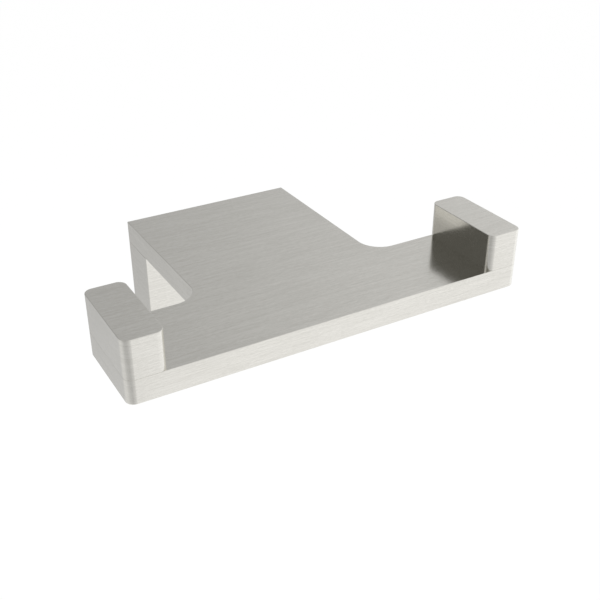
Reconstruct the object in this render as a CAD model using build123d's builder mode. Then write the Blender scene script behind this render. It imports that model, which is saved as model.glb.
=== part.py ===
import os
from math import radians, tan
from build123d import *

# Double robe hook, sizes in millimetres.
# The origin is on the wall, midway between the two wall screws.
# X runs along the bar, Y runs into the wall and Z is up.

# Top plate: a bar across the front, and a stem from the bar back to the wall
bar_length = 107.2
bar_depth = 25.0
stem_width = 50.0
projection = 75.0
plate_thickness = 6.25
throat_radius = 6.4
corner_radius = 2.1
edge_break = 0.15

# Upstands: one block on each end of the bar, with the bar's depth and corners
upstand_width = 9.8
upstand_height = 9.9
seam_break = 0.1

# Wall flange: hangs under the stem's rear end, with a pocket open to the wall
plate_top_z = 25.0
flange_height = 50.0
flange_depth = 12.5
flange_side_wall = 5.0
flange_front_wall = 3.0
flange_bottom_wall = 6.0
pocket_corner_radius = 1.5

# Wall bracket: a dovetail block, wider in front than at the wall
bracket_height = 25.0
bracket_side_gap = 2.0
bracket_front_gap = 1.0
bracket_corner_radius = 2.0
bracket_edge_break = 0.4
dovetail_angle = 20.0
wall_screw_spacing = 22.0
wall_screw_hole_radius = 2.4
wall_screw_sink_radius = 4.7

# Grub screw: up through the flange's underside, against the dovetail
grub_radius = 2.5
grub_tip_radius = 1.25
grub_recess = 1.4
grub_socket_width = 2.5
grub_socket_depth = 2.6
grub_tip_gap = 0.05

# Flange screws: button heads, up through the flange's top wall into the stem
flange_screw_spacing = 26.0
flange_screw_radius = 2.0
flange_screw_grip = 3.4
flange_screw_run_out = 0.4
flange_head_radius = 3.8
flange_head_height = 2.2
flange_head_rounding = 1.5
flange_head_room = 0.2
flange_socket_width = 2.5
flange_socket_depth = 1.3
plate_skin = 1.2

# Upstand screws: countersunk, up through the bar, two into each upstand
upstand_screw_spacing = 13.0
upstand_screw_radius = 1.5
upstand_screw_run_out = 1.2
upstand_head_radius = 2.8
upstand_head_recess = 0.1
upstand_socket_width = 2.0
upstand_socket_depth = 1.1
upstand_skin = 2.8

screw_clearance = 0.05
screw_tip_chamfer = 0.4
countersink_angle = 90.0

# Levels and lines that the pieces share
plate_bottom_z = plate_top_z - plate_thickness
bar_centre_y = -projection + bar_depth / 2
upstand_centre_x = (bar_length - upstand_width) / 2
flange_bottom_z = plate_top_z - flange_height
pocket_depth = flange_depth - flange_front_wall
pocket_width = stem_width - 2 * flange_side_wall
pocket_floor_z = flange_bottom_z + flange_bottom_wall
dovetail_slope = tan(radians(dovetail_angle))
bracket_thickness = pocket_depth - bracket_front_gap
bracket_width = pocket_width - 2 * bracket_side_gap
bracket_front_z = bracket_height / 2
bracket_wall_z = bracket_front_z - bracket_thickness * dovetail_slope
pocket_ceiling_z = bracket_wall_z + pocket_depth * dovetail_slope
pocket_middle_y = -pocket_depth / 2
seat_z = plate_bottom_z - flange_screw_grip
upstand_hole_depth = upstand_height - upstand_skin
plate_hole_depth = plate_thickness - plate_skin

os.makedirs("parts", exist_ok=True)


# A plane that faces down, so that a hole made on it runs up
def facing_down(x, y, z):
    return Plane(origin=(x, y, z), x_dir=(1, 0, 0), z_dir=(0, 0, -1))


# Top plate
with BuildPart() as top_plate:
    with BuildSketch(Plane.XY.offset(plate_bottom_z)) as plate_outline:
        with Locations((0, -projection)):
            Rectangle(bar_length, bar_depth, align=(Align.CENTER, Align.MIN))
        Rectangle(stem_width, projection, align=(Align.CENTER, Align.MAX))
        bar_rear = plate_outline.vertices().group_by(Axis.Y)[1].sort_by(Axis.X)
        fillet(bar_rear[1:3], throat_radius)
        by_x = plate_outline.vertices().group_by(Axis.X)
        fillet(by_x[0] + by_x[-1], corner_radius)
    extrude(amount=plate_thickness)
    chamfer(top_plate.faces().sort_by(Axis.Z)[0].edges(), edge_break)
    chamfer(top_plate.faces().sort_by(Axis.Z)[-1].edges(), edge_break)
    with Locations(
        facing_down(-upstand_centre_x, bar_centre_y, plate_bottom_z),
        facing_down(upstand_centre_x, bar_centre_y, plate_bottom_z),
    ):
        with Locations((0, -upstand_screw_spacing / 2), (0, upstand_screw_spacing / 2)):
            CounterSinkHole(
                upstand_screw_radius + screw_clearance,
                upstand_head_radius + upstand_head_recess + screw_clearance,
                depth=plate_thickness,
                counter_sink_angle=countersink_angle,
            )
    with Locations(facing_down(0, pocket_middle_y, plate_bottom_z)):
        with Locations((-flange_screw_spacing / 2, 0), (flange_screw_spacing / 2, 0)):
            Hole(flange_screw_radius + screw_clearance, depth=plate_hole_depth)
top_plate.part.label = "top_plate"
export_step(top_plate.part, "parts/top_plate.step")

# Upstands, each with two tapped holes in its foot
for name, centre_x in (("left_upstand", -upstand_centre_x), ("right_upstand", upstand_centre_x)):
    with BuildPart() as upstand:
        with BuildSketch(Plane.XY.offset(plate_top_z)):
            with Locations((centre_x, bar_centre_y)):
                RectangleRounded(upstand_width, bar_depth, corner_radius)
        extrude(amount=upstand_height)
        chamfer(upstand.faces().sort_by(Axis.Z)[-1].edges(), edge_break)
        chamfer(upstand.faces().sort_by(Axis.Z)[0].edges(), seam_break)
        with Locations(facing_down(centre_x, bar_centre_y, plate_top_z)):
            with Locations((0, -upstand_screw_spacing / 2), (0, upstand_screw_spacing / 2)):
                Hole(upstand_screw_radius + screw_clearance, depth=upstand_hole_depth)
    upstand.part.label = name
    export_step(upstand.part, f"parts/{name}.step")

# Wall flange
with BuildPart() as wall_flange:
    with BuildSketch(Plane.XY.offset(flange_bottom_z)):
        Rectangle(stem_width, flange_depth, align=(Align.CENTER, Align.MAX))
    extrude(amount=plate_bottom_z - flange_bottom_z)
    chamfer(wall_flange.faces().sort_by(Axis.Z)[0].edges(), edge_break)
    chamfer(wall_flange.faces().sort_by(Axis.Z)[-1].edges(), seam_break)
    # The pocket's ceiling slopes down to the wall, to hook behind the bracket
    with BuildSketch(Plane.YZ):
        with BuildLine():
            Polyline(
                (0, pocket_floor_z),
                (-pocket_depth, pocket_floor_z),
                (-pocket_depth, pocket_ceiling_z),
                (0, bracket_wall_z),
                close=True,
            )
        make_face()
    extrude(amount=pocket_width / 2, both=True, mode=Mode.SUBTRACT)
    pocket_corners = wall_flange.edges().filter_by(Axis.Z).group_by(Axis.Y)[1]
    fillet(pocket_corners, pocket_corner_radius)
    with Locations(facing_down(0, pocket_middle_y, bracket_wall_z)):
        with Locations((-flange_screw_spacing / 2, 0), (flange_screw_spacing / 2, 0)):
            CounterBoreHole(
                flange_screw_radius + screw_clearance,
                flange_head_radius + flange_head_room,
                counter_bore_depth=seat_z - bracket_wall_z,
                depth=plate_bottom_z - bracket_wall_z,
            )
    with Locations(facing_down(0, pocket_middle_y, flange_bottom_z)):
        Hole(grub_radius + screw_clearance, depth=flange_bottom_wall)
wall_flange.part.label = "wall_flange"
export_step(wall_flange.part, "parts/wall_flange.step")

# Wall bracket
with BuildPart() as wall_bracket:
    with BuildSketch(Plane.YZ):
        with BuildLine():
            Polyline(
                (0, bracket_wall_z),
                (-bracket_thickness, bracket_front_z),
                (-bracket_thickness, -bracket_front_z),
                (0, -bracket_wall_z),
                close=True,
            )
        make_face()
    extrude(amount=bracket_width / 2, both=True)
    bracket_corners = wall_bracket.faces().filter_by(Axis.X).edges().filter_by(Axis.Z, reverse=True)
    fillet(bracket_corners, bracket_corner_radius)
    chamfer(wall_bracket.faces().sort_by(Axis.Y)[0].edges(), bracket_edge_break)
    with Locations(Plane(origin=(0, -bracket_thickness, 0), x_dir=(1, 0, 0), z_dir=(0, -1, 0))):
        with Locations((-wall_screw_spacing / 2, 0), (wall_screw_spacing / 2, 0)):
            CounterSinkHole(
                wall_screw_hole_radius,
                wall_screw_sink_radius,
                depth=bracket_thickness,
                counter_sink_angle=countersink_angle,
            )
wall_bracket.part.label = "wall_bracket"
export_step(wall_bracket.part, "parts/wall_bracket.step")

# Grub screw: its flat tip meets the dovetail at the tip's front edge
grub_bottom_z = flange_bottom_z + grub_recess
dovetail_at_tip_z = -bracket_wall_z - (grub_tip_radius - pocket_middle_y) * dovetail_slope
grub_length = dovetail_at_tip_z - grub_tip_gap - grub_bottom_z
with BuildPart() as grub_screw:
    with Locations((0, pocket_middle_y, grub_bottom_z)):
        Cylinder(grub_radius, grub_length, align=(Align.CENTER, Align.CENTER, Align.MIN))
    chamfer(grub_screw.edges().filter_by(GeomType.CIRCLE).sort_by(Axis.Z)[-1], grub_radius - grub_tip_radius)
    with BuildSketch(Plane.XY.offset(grub_bottom_z)):
        with Locations((0, pocket_middle_y)):
            RegularPolygon(grub_socket_width / 2, 6, major_radius=False)
    extrude(amount=grub_socket_depth, mode=Mode.SUBTRACT)
grub_screw.part.label = "grub_screw"
export_step(grub_screw.part, "parts/grub_screw.step")

# Flange screws: two solids in one node
flange_screw_points = [(side * flange_screw_spacing / 2, pocket_middle_y) for side in (-1, 1)]
flange_screw_top_z = plate_bottom_z + plate_hole_depth - flange_screw_run_out
with BuildPart() as flange_screws:
    with BuildSketch(Plane.XY.offset(seat_z - flange_head_height)):
        with Locations(*flange_screw_points):
            Circle(flange_head_radius)
    extrude(amount=flange_head_height)
    fillet(flange_screws.edges().group_by(Axis.Z)[0], flange_head_rounding)
    with BuildSketch(Plane.XY.offset(seat_z)):
        with Locations(*flange_screw_points):
            Circle(flange_screw_radius)
    extrude(amount=flange_screw_top_z - seat_z)
    chamfer(flange_screws.edges().group_by(Axis.Z)[-1], screw_tip_chamfer)
    with BuildSketch(Plane.XY.offset(seat_z - flange_head_height)):
        with Locations(*flange_screw_points):
            RegularPolygon(flange_socket_width / 2, 6, major_radius=False)
    extrude(amount=flange_socket_depth, mode=Mode.SUBTRACT)
flange_screws.part.label = "flange_screws"
export_step(flange_screws.part, "parts/flange_screws.step")

# Upstand screws: four solids in one node
upstand_screw_points = [
    (side * upstand_centre_x, bar_centre_y + row * upstand_screw_spacing / 2)
    for side in (-1, 1)
    for row in (-1, 1)
]
upstand_head_z = plate_bottom_z + upstand_head_recess
upstand_screw_top_z = plate_top_z + upstand_hole_depth - upstand_screw_run_out
with BuildPart() as upstand_screws:
    with BuildSketch(Plane.XY.offset(upstand_head_z)):
        with Locations(*upstand_screw_points):
            Circle(upstand_head_radius)
    extrude(amount=upstand_head_radius - upstand_screw_radius, taper=countersink_angle / 2)
    with BuildSketch(Plane.XY.offset(upstand_head_z)):
        with Locations(*upstand_screw_points):
            Circle(upstand_screw_radius)
    extrude(amount=upstand_screw_top_z - upstand_head_z)
    chamfer(upstand_screws.edges().group_by(Axis.Z)[-1], screw_tip_chamfer)
    with BuildSketch(Plane.XY.offset(upstand_head_z)):
        with Locations(*upstand_screw_points):
            RegularPolygon(upstand_socket_width / 2, 6, major_radius=False)
    extrude(amount=upstand_socket_depth, mode=Mode.SUBTRACT)
upstand_screws.part.label = "upstand_screws"
export_step(upstand_screws.part, "parts/upstand_screws.step")
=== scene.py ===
from math import cos, pi, radians, sin, tan

import bmesh
import bpy
from mathutils import Matrix, Vector


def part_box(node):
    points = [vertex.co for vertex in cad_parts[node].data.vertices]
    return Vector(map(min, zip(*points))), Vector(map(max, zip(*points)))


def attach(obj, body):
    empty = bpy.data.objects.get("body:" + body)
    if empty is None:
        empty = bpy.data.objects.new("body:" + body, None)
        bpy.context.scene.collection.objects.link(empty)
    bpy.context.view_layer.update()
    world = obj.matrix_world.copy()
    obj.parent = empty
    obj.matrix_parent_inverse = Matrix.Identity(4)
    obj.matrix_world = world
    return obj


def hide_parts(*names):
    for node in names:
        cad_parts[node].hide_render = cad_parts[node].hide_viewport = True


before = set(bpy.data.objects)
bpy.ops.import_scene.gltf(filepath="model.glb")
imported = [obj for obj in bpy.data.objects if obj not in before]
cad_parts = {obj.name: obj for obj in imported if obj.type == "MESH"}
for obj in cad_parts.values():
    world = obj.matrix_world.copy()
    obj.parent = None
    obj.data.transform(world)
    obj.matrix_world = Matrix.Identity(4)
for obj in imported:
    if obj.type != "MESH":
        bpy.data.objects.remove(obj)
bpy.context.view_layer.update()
print("frame loaded,", len(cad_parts), "CAD nodes")

# Piece sizes are in millimetres and the scene is in metres
mm = 0.001
weld = 0.0005 * mm

# Corners this close stand at the same place, and at the same height
samePlace = 0.01
sameLevel = 0.001

# How far a cutting tool stands past the face that it cuts
past = 1.0

# Steps across a hairline rounding, and round a drilled hole
edgeSteps = 3
holeSteps = 48


# Lowest and highest corner of a CAD node, in millimetres
def boxOf(node):
    low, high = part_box(node)
    return low / mm, high / mm


cameraValues = {
    "spot": (-99.702, -226.890, 133.951),
    "looking": (0.43442, 0.74982, -0.49904),
    "lens": 54.246,
    "sensor": 36.0,
    "nearClip": 5.0,
}


def makeCamera(values):
    data = bpy.data.cameras.new("camera")
    data.sensor_width = values["sensor"]
    data.lens = values["lens"]
    data.clip_start = values["nearClip"] * mm
    camera = bpy.data.objects.new("camera", data)
    bpy.context.collection.objects.link(camera)
    camera.location = Vector(values["spot"]) * mm
    camera.rotation_euler = Vector(values["looking"]).to_track_quat("-Z", "Y").to_euler()
    bpy.context.scene.camera = camera


makeCamera(cameraValues)
print("camera placed")


# One wrapped socket, so that sums on it add Math nodes
class Wire:
    def __init__(self, finish, socket):
        self.finish = finish
        self.socket = socket

    def __add__(self, other):
        return self.finish.math("ADD", self, other)

    __radd__ = __add__

    def __sub__(self, other):
        return self.finish.math("SUBTRACT", self, other)

    def __rsub__(self, other):
        return self.finish.math("SUBTRACT", other, self)

    def __mul__(self, other):
        return self.finish.math("MULTIPLY", self, other)

    def __truediv__(self, other):
        return self.finish.math("DIVIDE", self, other)

    def __gt__(self, other):
        return self.finish.math("GREATER_THAN", self, other)

    def __abs__(self):
        return self.finish.math("ABSOLUTE", self)


# One node tree, with the one method that every node comes from
class Finish:
    def __init__(self, tree):
        self.tree = tree
        tree.nodes.clear()

    def node(self, kind, settings=None, sockets=None, out=None):
        made = self.tree.nodes.new(kind)
        for name, value in (settings or {}).items():
            if name == "stops":
                self.setStops(made.color_ramp, value)
            else:
                setattr(made, name, value)
        for name, value in (sockets or {}).items():
            socket = self.find(made.inputs, name)
            if isinstance(value, Wire):
                self.tree.links.new(value.socket, socket)
            else:
                socket.default_value = value
        return Wire(self, self.find(made.outputs, out)) if made.outputs else made

    def find(self, sockets, name):
        if isinstance(name, int):
            return sockets[name]
        return next(s for s in sockets if s.enabled and name in (None, s.name))

    def setStops(self, ramp, stops):
        while len(ramp.elements) < len(stops):
            ramp.elements.new(0.5)
        for element, (place, tone) in zip(ramp.elements, stops):
            element.position = place
            element.color = (tone, tone, tone, 1)

    def math(self, operation, *values):
        return self.node("ShaderNodeMath", {"operation": operation}, dict(enumerate(values)))

    def axes(self, place):
        return [self.node("ShaderNodeSeparateXYZ", None, {"Vector": place}, axis) for axis in "XYZ"]

    def mixColours(self, share, first, second):
        settings = {"data_type": "RGBA", "blend_type": "MIX"}
        return self.node("ShaderNodeMix", settings, {"Factor": share, "A": first, "B": second})

    def noise(self, place, scale, detail):
        sockets = {"Vector": place, "Scale": scale, "Detail": detail}
        return self.node("ShaderNodeTexNoise", None, sockets, "Fac")

    # Black under the first limit and white over the second
    def contrast(self, mark, limits):
        stops = list(zip(limits, (0.0, 1.0)))
        return self.node("ShaderNodeValToRGB", {"stops": stops}, {"Fac": mark}, "Color")

    # A metal whose roughness follows one mark and whose surface rises with another
    def metal(self, values, colour, haze, height):
        roughness = values["roughness"] + (haze - 0.5) * values["roughnessSpread"]
        sockets = {"Strength": 1.0, "Distance": values["bumpDepth"] * mm, "Height": height}
        bump = self.node("ShaderNodeBump", None, sockets, "Normal")
        sockets = {"Base Color": colour, "Metallic": 1.0, "Roughness": roughness, "Normal": bump}
        shader = self.node("ShaderNodeBsdfPrincipled", None, sockets)
        self.node("ShaderNodeOutputMaterial", None, {"Surface": shader})


def newMaterial(name):
    material = bpy.data.materials.new(name)
    material.use_nodes = True
    return material, Finish(material.node_tree)


# Shares of tone go to the fine streaks, the nicks, the coarse streaks and the cloud, and
# shares of bump to the first three. The two scales are counted per metre.
nickelValues = {
    "darkStreak": (0.706, 0.691, 0.646, 1),
    "lightStreak": (0.809, 0.794, 0.749, 1),
    "roughness": 0.175,
    "roughnessSpread": 0.08,
    "fineWidth": 0.2,
    "fineLength": 9.0,
    "coarseWidth": 0.75,
    "coarseLength": 15.3,
    "nickWidth": 0.22,
    "nickLength": 1.2,
    "cloudScale": 45.0,
    "driftScale": 90.0,
    "waviness": 0.1,
    "toneShares": (0.35, 0.35, 0.2, 0.1),
    "toneLimits": (0.40, 0.60),
    "bumpShares": (0.4, 0.35, 0.25),
    "bumpDepth": 0.0022,
    "levelLimit": 0.7,
    "levelShift": 7.3,
}


# Satin nickel: streaks run along X on level faces, and level round the upright ones
def makeNickel(values):
    material, finish = newMaterial("brushedNickel")
    place = finish.node("ShaderNodeTexCoord", out="Object")
    normal = finish.node("ShaderNodeTexCoord", out="Normal")
    rise = finish.node("ShaderNodeSeparateXYZ", None, {"Vector": normal}, "Z")
    level = abs(rise) > values["levelLimit"]
    x, y, z = (part / mm for part in finish.axes(place))
    # The brush line's own place, and the place across it, which drifts a little
    along = x + y * (1 - level)
    drift = finish.noise(place, values["driftScale"], detail=2.0)
    across = y * level + z * (1 - level) + drift * values["waviness"]

    # The shift keeps level and upright faces from showing the same streaks
    def streaks(width, length):
        shift = level * values["levelShift"]
        sockets = {"X": along / length, "Y": across / width, "Z": shift}
        spot = finish.node("ShaderNodeCombineXYZ", None, sockets)
        return finish.noise(spot, 1.0, detail=2.0)

    fine = streaks(values["fineWidth"], values["fineLength"])
    coarse = streaks(values["coarseWidth"], values["coarseLength"])
    nicks = streaks(values["nickWidth"], values["nickLength"])
    cloud = finish.noise(place, values["cloudScale"], detail=3.0)
    fineShare, nickShare, coarseShare, cloudShare = values["toneShares"]
    mark = fine * fineShare + nicks * nickShare + coarse * coarseShare + cloud * cloudShare
    tone = finish.contrast(mark, values["toneLimits"])
    colour = finish.mixColours(tone, values["darkStreak"], values["lightStreak"])
    fineShare, nickShare, coarseShare = values["bumpShares"]
    height = fine * fineShare + nicks * nickShare + coarse * coarseShare
    finish.metal(values, colour, fine, height)
    return material


zincValues = {
    "dark": (0.42, 0.415, 0.40, 1),
    "light": (0.62, 0.61, 0.59, 1),
    "roughness": 0.42,
    "roughnessSpread": 0.2,
    "grainSize": 0.35,
    "cloudSize": 3.0,
    "grainShare": 0.4,
    "toneLimits": (0.35, 0.65),
    "bumpDepth": 0.03,
}


# Zinc die casting: a fine grain, with the cloudy tone of a tumbled part
def makeZinc(values):
    material, finish = newMaterial("castZinc")
    place = finish.node("ShaderNodeTexCoord", out="Object")
    grain = finish.noise(place, 1 / (values["grainSize"] * mm), detail=3.0)
    cloud = finish.noise(place, 1 / (values["cloudSize"] * mm), detail=4.0)
    mark = cloud * (1 - values["grainShare"]) + grain * values["grainShare"]
    tone = finish.contrast(mark, values["toneLimits"])
    colour = finish.mixColours(tone, values["dark"], values["light"])
    finish.metal(values, colour, cloud, grain)
    return material


# The haze's scale is counted per metre
steelValues = {
    "dark": (0.50, 0.49, 0.475, 1),
    "light": (0.66, 0.65, 0.635, 1),
    "roughness": 0.28,
    "roughnessSpread": 0.14,
    "markWidth": 0.12,
    "markLength": 4.0,
    "hazeScale": 900.0,
    "hazeShare": 0.5,
    "bumpDepth": 0.004,
}


# Stainless screws: level turning marks, and a light tumbled haze
def makeSteel(values):
    material, finish = newMaterial("turnedSteel")
    place = finish.node("ShaderNodeTexCoord", out="Object")
    x, y, z = (part / mm for part in finish.axes(place))
    length, width = values["markLength"], values["markWidth"]
    sockets = {"X": x / length, "Y": y / length, "Z": z / width}
    spot = finish.node("ShaderNodeCombineXYZ", None, sockets)
    marks = finish.noise(spot, 1.0, detail=2.0)
    haze = finish.noise(place, values["hazeScale"], detail=3.0)
    tone = marks * (1 - values["hazeShare"]) + haze * values["hazeShare"]
    colour = finish.mixColours(tone, values["dark"], values["light"])
    finish.metal(values, colour, haze, marks)
    return material


nickel = makeNickel(nickelValues)
zinc = makeZinc(zincValues)
steel = makeSteel(steelValues)
print("finishes made")


def newObject(name, bm, material=None):
    bmesh.ops.recalc_face_normals(bm, faces=bm.faces)
    mesh = bpy.data.meshes.new(name)
    bm.to_mesh(mesh)
    bm.free()
    thing = bpy.data.objects.new(name, mesh)
    bpy.context.collection.objects.link(thing)
    if material:
        mesh.materials.append(material)
    return thing


def footprint(low, high):
    return [(low.x, low.y), (high.x, low.y), (high.x, high.y), (low.x, high.y)]


# A closed block on a few corners, in millimetres
def block(corners, low, high):
    bm = bmesh.new()
    face = bm.faces.new([bm.verts.new((x * mm, y * mm, low * mm)) for x, y in corners])
    made = bmesh.ops.extrude_face_region(bm, geom=[face])["geom"]
    raised = [part for part in made if isinstance(part, bmesh.types.BMVert)]
    bmesh.ops.translate(bm, verts=raised, vec=(0, 0, (high - low) * mm))
    bmesh.ops.recalc_face_normals(bm, faces=bm.faces)
    return bm


def roundEdges(bm, wanted, radius, segments=edgeSteps):
    edges = [edge for edge in bm.edges if wanted(edge)]
    bmesh.ops.bevel(
        bm,
        geom=edges,
        offset=radius * mm,
        offset_type="OFFSET",
        affect="EDGES",
        segments=segments,
        profile=0.5,
        material=-1,
        clamp_overlap=True,
    )


def isUpright(edge):
    first, second = (vert.co for vert in edge.verts)
    return (first - second).to_2d().length < weld


def middle(edge):
    return (edge.verts[0].co + edge.verts[1].co) / 2 / mm


def atLevel(level):
    return lambda part: all(abs(vert.co.z / mm - level) < sameLevel for vert in part.verts)


# Insets the flat face at a level and lowers the inner part, which leaves a shadow gap round it
def stepDown(bm, level, depth, gap):
    isEnd = atLevel(level)
    ends = [face for face in bm.faces if isEnd(face)]
    bmesh.ops.inset_region(bm, faces=ends, thickness=depth * mm, depth=0, use_even_offset=True)
    lowered = bmesh.ops.extrude_discrete_faces(bm, faces=ends)["faces"]
    verts = {vert for face in lowered for vert in face.verts}
    bmesh.ops.translate(bm, verts=list(verts), vec=(0, 0, -gap * mm))


# Spins a line of points round Z. The points and the rise at each step are in metres.
def spinLine(bm, points, angle, steps, rise=0.0, merge=False):
    verts = [bm.verts.new(point) for point in points]
    edges = [bm.edges.new(pair) for pair in zip(verts, verts[1:])]
    bmesh.ops.spin(
        bm,
        geom=verts + edges,
        cent=(0, 0, 0),
        axis=(0, 0, 1),
        dvec=(0, 0, rise),
        angle=angle,
        steps=steps,
        use_merge=merge,
    )


# A closed turned solid from a profile of radii and heights
def turned(profile, x, y, steps=holeSteps):
    bm = bmesh.new()
    points = [(radius * mm, 0, z * mm) for radius, z in profile]
    spinLine(bm, points, 2 * pi, steps, merge=True)
    bmesh.ops.remove_doubles(bm, verts=bm.verts, dist=weld)
    bmesh.ops.translate(bm, verts=bm.verts, vec=(x * mm, y * mm, 0))
    bmesh.ops.recalc_face_normals(bm, faces=bm.faces)
    return bm


def holeProfile(radius, start, end):
    return [(0, start), (radius, start), (radius, end), (0, end)]


# Applies a Boolean, and deletes the tool that it used
def carve(piece, bm, operation="DIFFERENCE"):
    tool = newObject("tool", bm)
    modifier = piece.modifiers.new("carve", "BOOLEAN")
    modifier.solver = "EXACT"
    modifier.operation = operation
    modifier.object = tool
    evaluated = piece.evaluated_get(bpy.context.evaluated_depsgraph_get())
    mesh = bpy.data.meshes.new_from_object(evaluated)
    piece.modifiers.clear()
    old = piece.data
    piece.data = mesh
    mesh.name = piece.name
    bpy.data.meshes.remove(old)
    bpy.data.objects.remove(tool)


# Soft shading on rounded edges, flat shading on flat faces
def finishPiece(piece, slot, *nodes, sharpAngle=32):
    bm = bmesh.new()
    bm.from_mesh(piece.data)
    bmesh.ops.remove_doubles(bm, verts=bm.verts, dist=weld)
    bmesh.ops.dissolve_degenerate(bm, dist=weld, edges=bm.edges)
    for face in bm.faces:
        face.smooth = True
    for edge in bm.edges:
        edge.smooth = edge.is_manifold and edge.calc_face_angle(pi) < radians(sharpAngle)
    bm.to_mesh(piece.data)
    bm.free()
    modifier = piece.modifiers.new("evenShading", "WEIGHTED_NORMAL")
    modifier.keep_sharp = True
    modifier.weight = 100
    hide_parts(*nodes)
    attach(piece, "root")
    print(piece.name, "made,", len(piece.data.polygons), "faces")


screwValues = {
    "upstandSpacing": 13.0,
    "flangeSpacing": 26.0,
}

# Where the screws stand: four under the upstands and two under the stem
upstandLow, upstandHigh = boxOf("right_upstand")
upstandScrewSpots = [
    (side * (upstandLow.x + upstandHigh.x) / 2, (upstandLow.y + upstandHigh.y) / 2 + row)
    for side in (-1, 1)
    for row in (-screwValues["upstandSpacing"] / 2, screwValues["upstandSpacing"] / 2)
]
grubLow, grubHigh = boxOf("grub_screw")
pocketMiddle = (grubLow.y + grubHigh.y) / 2
flangeScrewSpots = [(side * screwValues["flangeSpacing"] / 2, pocketMiddle) for side in (-1, 1)]


plateValues = {
    "throatRadius": 6.4,
    "throatSteps": 24,
    "cornerRadius": 2.1,
    "cornerSteps": 14,
    "edgeRadius": 0.15,
    "upstandHoleRadius": 1.55,
    "sinkRadius": 2.95,
    "flangeHoleRadius": 2.05,
    "skin": 1.2,
}


def makeTopPlate(values):
    low, high = boxOf("top_plate")
    endX, stemX = high.x, boxOf("wall_flange")[1].x
    front, rear = low.y, boxOf("right_upstand")[1].y
    right = [(endX, front), (endX, rear), (stemX, rear), (stemX, high.y)]
    left = [(-x, y) for x, y in reversed(right)]
    bm = block(right + left, low.z, high.z)

    def isAt(edge, x=None, y=None):
        place = middle(edge)
        fitsX = x is None or abs(abs(place.x) - x) < samePlace
        fitsY = y is None or abs(place.y - y) < samePlace
        return isUpright(edge) and fitsX and fitsY

    roundEdges(bm, lambda edge: isAt(edge, stemX, rear), values["throatRadius"], values["throatSteps"])
    roundEdges(bm, lambda edge: isAt(edge, x=endX), values["cornerRadius"], values["cornerSteps"])
    roundEdges(bm, lambda edge: isAt(edge, y=high.y), values["edgeRadius"])
    roundEdges(bm, atLevel(high.z), values["edgeRadius"])
    roundEdges(bm, atLevel(low.z), values["edgeRadius"])
    plate = newObject("topPlate", bm, nickel)
    hole, sink = values["upstandHoleRadius"], values["sinkRadius"]
    profile = [
        (0, low.z - past),
        (sink + past, low.z - past),
        (hole, low.z + sink - hole),
        (hole, high.z + past),
        (0, high.z + past),
    ]
    for x, y in upstandScrewSpots:
        carve(plate, turned(profile, x, y))
    profile = holeProfile(values["flangeHoleRadius"], low.z - past, high.z - values["skin"])
    for x, y in flangeScrewSpots:
        carve(plate, turned(profile, x, y))
    finishPiece(plate, "brushed_nickel", "top_plate")


makeTopPlate(plateValues)


leftUpstandValues = {
    "cornerRadius": 2.1,
    "cornerSteps": 16,
    "edgeRadius": 0.15,
    "seamRadius": 0.04,
    "seamGap": 0.022,
    "seamDepth": 0.35,
    "holeRadius": 1.55,
    "skin": 2.8,
}

# The right one sits tighter: its seam hardly shows
rightUpstandValues = {**leftUpstandValues, "seamRadius": 0.02, "seamGap": 0.008}


def makeUpstand(name, node, values):
    low, high = boxOf(node)
    foot = low.z + values["seamGap"]
    bm = block(footprint(low, high), foot, high.z)
    roundEdges(bm, isUpright, values["cornerRadius"], values["cornerSteps"])
    roundEdges(bm, atLevel(high.z), values["edgeRadius"])
    roundEdges(bm, atLevel(foot), values["seamRadius"])
    stepDown(bm, foot, values["seamDepth"], values["seamGap"])
    upstand = newObject(name, bm, nickel)
    profile = holeProfile(values["holeRadius"], low.z - past, high.z - values["skin"])
    for x, y in upstandScrewSpots:
        if low.x < x < high.x:
            carve(upstand, turned(profile, x, y))
    finishPiece(upstand, "brushed_nickel", node)


makeUpstand("leftUpstand", "left_upstand", leftUpstandValues)
makeUpstand("rightUpstand", "right_upstand", rightUpstandValues)


flangeValues = {
    "edgeRadius": 0.15,
    "seamRadius": 0.08,
    "frontWall": 3.0,
    "sideWall": 5.0,
    "bottomWall": 6.0,
    "bracketHeight": 25.0,
    "ceilingAngle": 20.0,
    "pocketRadius": 1.5,
    "pocketSteps": 10,
    "behindWall": 2.0,
    "screwGrip": 3.4,
    "counterboreRadius": 4.0,
    "screwHoleRadius": 2.05,
    "grubHoleRadius": 2.55,
    "holeSteps": 64,
}


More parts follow.
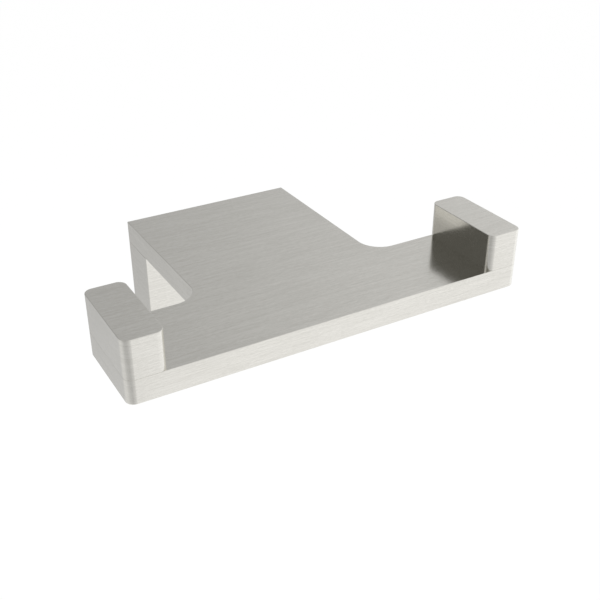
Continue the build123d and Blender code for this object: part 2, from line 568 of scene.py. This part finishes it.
def makeWallFlange(values):
    low, high = boxOf("wall_flange")
    bm = block(footprint(low, high), low.z, high.z)
    roundEdges(bm, isUpright, values["edgeRadius"])
    roundEdges(bm, atLevel(low.z), values["edgeRadius"])
    roundEdges(bm, atLevel(high.z), values["seamRadius"])
    flange = newObject("wallFlange", bm, nickel)

    # The pocket starts behind the wall line, and its ceiling slopes down to the wall
    pocketX, behind = high.x - values["sideWall"], values["behindWall"]
    pocketFront = low.y + values["frontWall"]
    corners = [(-pocketX, pocketFront), (pocketX, pocketFront), (pocketX, behind), (-pocketX, behind)]
    slope = tan(radians(values["ceilingAngle"]))
    floor = low.z + values["bottomWall"]
    ceiling = values["bracketHeight"] / 2 + boxOf("wall_bracket")[0].y * slope
    bm = block(corners, floor, ceiling)
    for vert in bm.verts:
        if vert.co.z / mm > ceiling - samePlace:
            vert.co.z -= vert.co.y * slope

    def isInnerCorner(edge):
        return isUpright(edge) and middle(edge).y < 0

    roundEdges(bm, isInnerCorner, values["pocketRadius"], values["pocketSteps"])
    carve(flange, bm)
    wide, hole, steps = values["counterboreRadius"], values["screwHoleRadius"], values["holeSteps"]
    start, seat, end = ceiling - past, high.z - values["screwGrip"], high.z + past
    profile = [(0, start), (wide, start), (wide, seat), (hole, seat), (hole, end), (0, end)]
    for x, y in flangeScrewSpots:
        carve(flange, turned(profile, x, y, steps))
    profile = holeProfile(values["grubHoleRadius"], low.z - past, floor + past)
    carve(flange, turned(profile, 0, pocketMiddle, steps))
    finishPiece(flange, "brushed_nickel", "wall_flange")


makeWallFlange(flangeValues)


# The two flats of the thread are shares of its pitch
grubValues = {
    "rootRadius": 2.01,
    "pitch": 0.8,
    "rootFlat": 0.25,
    "crestFlat": 0.125,
    "spareTurns": 2,
    "stepsPerTurn": 48,
    "tipRadius": 1.25,
    "mouthChamfer": 0.45,
    "crestRoom": 0.1,
    "outlineSteps": 97,
    "socketAcross": 2.5,
    "socketDepth": 2.6,
}


# A set screw with a real thread: one tooth's outline is spun upwards, and the ends are cut off flat
def makeGrubScrew(values):
    low, high = grubLow.z, grubHigh.z
    pitch, root, crest = values["pitch"], values["rootRadius"], (grubHigh.x - grubLow.x) / 2
    start = low - values["spareTurns"] * pitch
    turns = int((high - start) / pitch) + values["spareTurns"] + 1
    steps = values["stepsPerTurn"]
    rootFlat = values["rootFlat"]
    flank = (1 - rootFlat - values["crestFlat"]) / 2
    tooth = [(root, 0), (root, rootFlat), (crest, rootFlat + flank), (crest, 1 - flank), (root, 1)]
    bm = bmesh.new()
    points = [(radius * mm, 0, (start + rise * pitch) * mm) for radius, rise in tooth]
    spinLine(bm, points, 2 * pi * turns, steps * turns, rise=pitch * mm / steps)
    bmesh.ops.remove_doubles(bm, verts=bm.verts, dist=weld)
    for level, side in ((low - pitch / 2, -1), (high + pitch / 2, 1)):
        cut = bmesh.ops.bisect_plane(
            bm,
            geom=bm.verts[:] + bm.edges[:] + bm.faces[:],
            dist=weld,
            plane_co=(0, 0, level * mm),
            plane_no=(0, 0, side),
            clear_outer=True,
        )
        rim = [part for part in cut["geom_cut"] if isinstance(part, bmesh.types.BMEdge)]
        bmesh.ops.contextual_create(bm, geom=rim)
    bmesh.ops.translate(bm, verts=bm.verts, vec=(0, pocketMiddle * mm, 0))
    screw = newObject("grubScrew", bm, steel)

    # The finished ends: a broken edge below and a cone to the flat tip above. Between them the
    # outline stands clear of the thread, and its odd number of steps keeps their edges apart.
    mouth, tip, room = values["mouthChamfer"], values["tipRadius"], values["crestRoom"]
    outline = [
        (0, low),
        (crest - mouth, low),
        (crest + room, low + mouth + room),
        (crest + room, high - crest - room + tip),
        (tip, high),
        (0, high),
    ]
    carve(screw, turned(outline, 0, pocketMiddle, values["outlineSteps"]), "INTERSECT")
    across = values["socketAcross"] / 2 / cos(pi / 6)
    hexagon = [(across * cos(pi * k / 3), across * sin(pi * k / 3) + pocketMiddle) for k in range(6)]
    carve(screw, block(hexagon, low - past, low + values["socketDepth"]))
    finishPiece(screw, "screw_steel", "grub_screw")


makeGrubScrew(grubValues)


bracketValues = {
    "dovetailAngle": 20.0,
    "cornerRadius": 2.0,
    "cornerSteps": 12,
    "frontRounding": 0.45,
    "frontSteps": 4,
    "backRounding": 0.25,
    "screwSpacing": 22.0,
    "screwHoleRadius": 2.4,
    "sinkRadius": 4.7,
    "holeRounding": 0.2,
    "holeSteps": 64,
}


# A dovetail block, wider in front than at the wall, with the soft edges of a casting
def makeWallBracket(values):
    low, high = boxOf("wall_bracket")
    thickness = high.y - low.y
    bm = block(footprint(low, high), low.z, high.z)
    narrowing = thickness * tan(radians(values["dovetailAngle"])) * mm
    for vert in bm.verts:
        if vert.co.y / mm > high.y - samePlace:
            vert.co.z -= narrowing if vert.co.z > 0 else -narrowing

    def isCorner(edge):
        return abs(edge.verts[0].co.y - edge.verts[1].co.y) / mm > thickness - samePlace

    def isFlushWith(y):
        return lambda edge: all(abs(vert.co.y / mm - y) < sameLevel for vert in edge.verts)

    roundEdges(bm, isCorner, values["cornerRadius"], values["cornerSteps"])
    roundEdges(bm, isFlushWith(low.y), values["frontRounding"], values["frontSteps"])
    roundEdges(bm, isFlushWith(high.y), values["backRounding"])
    bracket = newObject("wallBracket", bm, zinc)
    hole, sink, soft = values["screwHoleRadius"], values["sinkRadius"], values["holeRounding"]
    profile = [
        (0, -past),
        (hole + soft + past, -past),
        (hole, soft),
        (hole, thickness - sink + hole),
        (sink - soft, thickness - soft),
        (sink + soft, thickness),
        (sink + soft, thickness + past),
        (0, thickness + past),
    ]
    for side in (-1, 1):
        bm = turned(profile, 0, 0, values["holeSteps"])
        bmesh.ops.rotate(bm, verts=bm.verts, matrix=Matrix.Rotation(pi / 2, 3, "X"))
        bmesh.ops.translate(bm, verts=bm.verts, vec=(side * values["screwSpacing"] / 2 * mm, 0, 0))
        carve(bracket, bm)
    finishPiece(bracket, "bracket_metal", "wall_bracket")


makeWallBracket(bracketValues)


# The CAD screws already have the right shape, so they stay and take a finish
for name in ("flange_screws", "upstand_screws"):
    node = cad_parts[name]
    node.data.materials.clear()
    node.data.materials.append(steel)
print("finish given to the screws")


studioValues = {
    "floorLevel": -600.0,
    "floorSize": 16000.0,
    "floorSteps": 96,
    "floorColour": (0.9, 0.9, 0.9, 1),
    "floorGlow": 0.7,
    "skyLight": 1.1,
    "keySpot": (-350.0, -550.0, 1150.0),
    "keySize": 700.0,
    "keyPower": 3.0,
}


# Camera and mirror rays see the plain white backdrop, and other rays see its light
def seenDirectly(finish):
    camera = finish.node("ShaderNodeLightPath", out="Is Camera Ray")
    glossy = finish.node("ShaderNodeLightPath", out="Is Glossy Ray")
    clear = finish.node("ShaderNodeLightPath", out="Is Transmission Ray")
    return finish.math("MAXIMUM", camera, finish.math("MAXIMUM", glossy, clear))


def makeWorld(values):
    world = bpy.data.worlds.new("backdrop")
    bpy.context.scene.world = world
    world.use_nodes = True
    finish = Finish(world.node_tree)
    direct = seenDirectly(finish)
    strength = direct + (1 - direct) * values["skyLight"]
    sockets = {"Color": (1, 1, 1, 1), "Strength": strength}
    shader = finish.node("ShaderNodeBackground", None, sockets)
    finish.node("ShaderNodeOutputWorld", None, {"Surface": shader})


def makeFloor(values):
    bm = bmesh.new()
    radius = values["floorSize"] / 2 * mm
    bmesh.ops.create_circle(bm, cap_ends=True, segments=values["floorSteps"], radius=radius)
    bmesh.ops.translate(bm, verts=bm.verts, vec=(0, 0, values["floorLevel"] * mm))
    material, finish = newMaterial("paleFloor")
    matt = finish.node("ShaderNodeBsdfDiffuse", None, {"Color": values["floorColour"]})
    glow = finish.node("ShaderNodeEmission", None, {"Color": (1, 1, 1, 1), "Strength": 1.0})
    share = seenDirectly(finish) * values["floorGlow"]
    shader = finish.node("ShaderNodeMixShader", None, {0: share, 1: matt, 2: glow})
    finish.node("ShaderNodeOutputMaterial", None, {"Surface": shader})
    newObject("floor", bm, material)


def makeKeyLight(values):
    data = bpy.data.lights.new("keyLight", "AREA")
    data.shape = "SQUARE"
    data.size = values["keySize"] * mm
    data.energy = values["keyPower"]
    light = bpy.data.objects.new("keyLight", data)
    bpy.context.collection.objects.link(light)
    light.location = Vector(values["keySpot"]) * mm
    light.rotation_euler = (-Vector(values["keySpot"])).to_track_quat("-Z", "Y").to_euler()
    light.visible_glossy = False


# A round tent of grey cards, which only the metal mirrors. Tones go by compass: 0 is behind
# the wall line, -90 is to the left and 180 is in front. There are three rings of tones, and
# each fades into the next between two heights, which are counted from the tent's centre.
tentValues = {
    "centre": (0.0, -40.0, 25.0),
    "radius": 800.0,
    "steps": 180,
    "bottom": -590.0,
    "shoulder": 1250.0,
    "top": 1900.0,
    "mouthRadius": 250.0,
    "lowTones": (
        (-180, 0.7), (-145, 0.5), (-90, 0.8), (-55, 0.8), (-20, 0.6), (20, 0.6), (45, 0.9),
        (80, 1.1), (162, 1.0), (180, 0.7),
    ),
    "midTones": (
        (-180, 0.8), (-115, 0.4), (-75, 0.72), (-20, 0.55), (20, 0.6), (40, 0.9), (110, 1.2),
        (135, 1.0), (165, 1.0), (180, 0.8),
    ),
    "highTones": (
        (-180, 0.8), (-145, 0.5), (-115, 0.5), (-85, 0.75), (-35, 0.35), (0, 0.42), (48, 0.7),
        (90, 1.05), (180, 0.8),
    ),
    "lowToMid": (-520.0, -370.0),
    "midToHigh": (-60.0, 60.0),
}

# A curved dark flag behind and to the left, from one compass bearing to another. It shows only
# after more reflections than its limit, which is between the first and the second, so that
# faces that stand close together darken each other.
flagValues = {
    "from": -84.0,
    "to": -9.0,
    "radius": 500.0,
    "steps": 48,
    "bottom": 0.0,
    "top": 750.0,
    "colour": (1.0, 0.985, 0.9, 1),
    "tone": 0.115,
    "feather": 0.18,
    "reflectionLimit": 1.5,
}

# A paler one further round, which darkens the foot of the rounded corners
sideFlagValues = {**flagValues, "from": -145.0, "to": -96.0, "tone": 0.25, "feather": 0.25}


def hideFromAllButMirrors(thing):
    thing.visible_camera = False
    thing.visible_diffuse = False
    thing.visible_shadow = False
    thing.visible_transmission = False


def makeTent(values):
    centre = Vector(values["centre"]) * mm
    profile = [
        (values["radius"], values["bottom"]),
        (values["radius"], values["shoulder"]),
        (values["mouthRadius"], values["top"]),
    ]
    bm = bmesh.new()
    points = [(radius * mm, 0, z * mm) for radius, z in profile]
    spinLine(bm, points, 2 * pi, values["steps"], merge=True)
    bmesh.ops.translate(bm, verts=bm.verts, vec=(centre.x, centre.y, 0))
    material, finish = newMaterial("tentCards")
    place = finish.node("ShaderNodeTexCoord", out="Object")
    x, y, z = (part - start for part, start in zip(finish.axes(place), centre))
    turn = finish.math("ARCTAN2", x, y) / (2 * pi) + 0.5

    def ring(tones):
        stops = [(azimuth / 360 + 0.5, tone) for azimuth, tone in tones]
        return finish.node("ShaderNodeValToRGB", {"stops": stops}, {"Fac": turn}, "Color")

    def fade(first, second, levels):
        sockets = {"Value": z, "From Min": levels[0] * mm, "From Max": levels[1] * mm}
        share = finish.node("ShaderNodeMapRange", None, sockets, "Result")
        return first * (1 - share) + second * share

    low, mid, high = (ring(values[name]) for name in ("lowTones", "midTones", "highTones"))
    tone = fade(fade(low, mid, values["lowToMid"]), high, values["midToHigh"])
    sockets = {"Color": (1, 1, 1, 1), "Strength": tone}
    shader = finish.node("ShaderNodeEmission", None, sockets)
    finish.node("ShaderNodeOutputMaterial", None, {"Surface": shader})
    hideFromAllButMirrors(newObject("tent", bm, material))


def makeFlag(values, centre):
    centre = Vector(centre) * mm
    start, end = radians(values["from"]), radians(values["to"])
    bottom, top = values["bottom"] * mm, values["top"] * mm
    x, y = values["radius"] * mm * sin(start), values["radius"] * mm * cos(start)
    bm = bmesh.new()
    spinLine(bm, [(x, y, bottom), (x, y, top)], start - end, values["steps"])
    bmesh.ops.translate(bm, verts=bm.verts, vec=(centre.x, centre.y, 0))
    material, finish = newMaterial("darkFlag")
    place = finish.node("ShaderNodeTexCoord", out="Object")
    x, y, z = finish.axes(place)
    turn = finish.math("ARCTAN2", x - centre.x, y - centre.y)
    across = abs(turn - (start + end) / 2) / (end - start)
    upright = abs(z - (bottom + top) / 2) / (top - bottom)
    # Full dark inside, fading out towards the edges
    inside = (0.5 - finish.math("MAXIMUM", across, upright)) / values["feather"]
    second = finish.node("ShaderNodeLightPath", out="Glossy Depth") > values["reflectionLimit"]
    share = finish.math("MINIMUM", inside, 1.0) * second
    clear = finish.node("ShaderNodeBsdfTransparent")
    sockets = {"Color": values["colour"], "Strength": values["tone"]}
    dark = finish.node("ShaderNodeEmission", None, sockets)
    shader = finish.node("ShaderNodeMixShader", None, {0: share, 1: clear, 2: dark})
    finish.node("ShaderNodeOutputMaterial", None, {"Surface": shader})
    hideFromAllButMirrors(newObject("darkFlag", bm, material))


makeWorld(studioValues)
makeFloor(studioValues)
makeKeyLight(studioValues)
makeTent(tentValues)
for flag in (flagValues, sideFlagValues):
    makeFlag(flag, tentValues["centre"])
bpy.context.scene.view_settings.view_transform = "Standard"
print("floor, light and cards placed")
